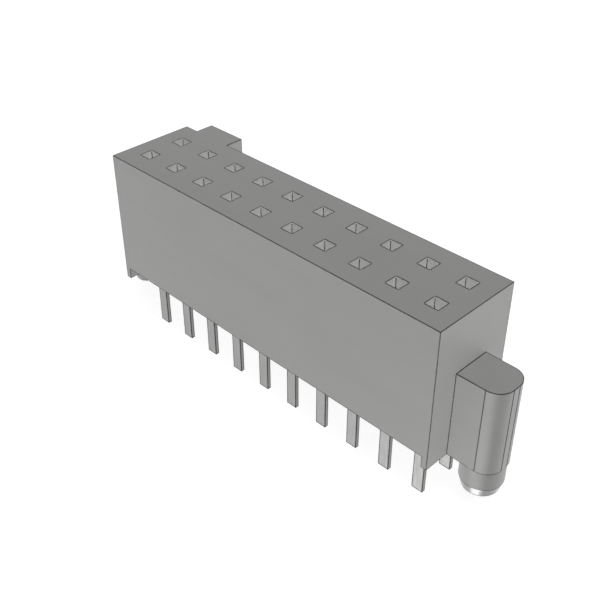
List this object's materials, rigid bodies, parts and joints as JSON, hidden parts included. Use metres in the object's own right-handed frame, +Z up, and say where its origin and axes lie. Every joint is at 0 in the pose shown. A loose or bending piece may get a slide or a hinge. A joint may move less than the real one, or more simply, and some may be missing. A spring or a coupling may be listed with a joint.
{
  "type": "board-to-board socket",
  "caption": "Through-board socket with rows of square pin entries, a key rib on its back face, round-nosed end lugs, locating pegs and flat solder tails.",
  "frame": {"origin": "centre of the contact field, on the board's surface that the feet stand on", "axes": "+X along the rows towards the end without the key, +Y across the rows towards the key rib, +Z up from the board to the mating face"},
  "size_m": [0.025, 0.0058, 0.0102],
  "materials": {
    "housing": "matte",
    "contact": "satin"
  },
  "bodies": {
    "root": {"housing": "housing", "contact_front_01": "contact", "contact_front_02": "contact", "contact_front_03": "contact", "contact_front_04": "contact", "contact_front_05": "contact", "contact_front_06": "contact", "contact_front_07": "contact", "contact_front_08": "contact", "contact_front_09": "contact", "contact_front_10": "contact", "contact_back_01": "contact", "contact_back_02": "contact", "contact_back_03": "contact", "contact_back_04": "contact", "contact_back_05": "contact", "contact_back_06": "contact", "contact_back_07": "contact", "contact_back_08": "contact", "contact_back_09": "contact", "contact_back_10": "contact"}
  },
  "joints": []
}
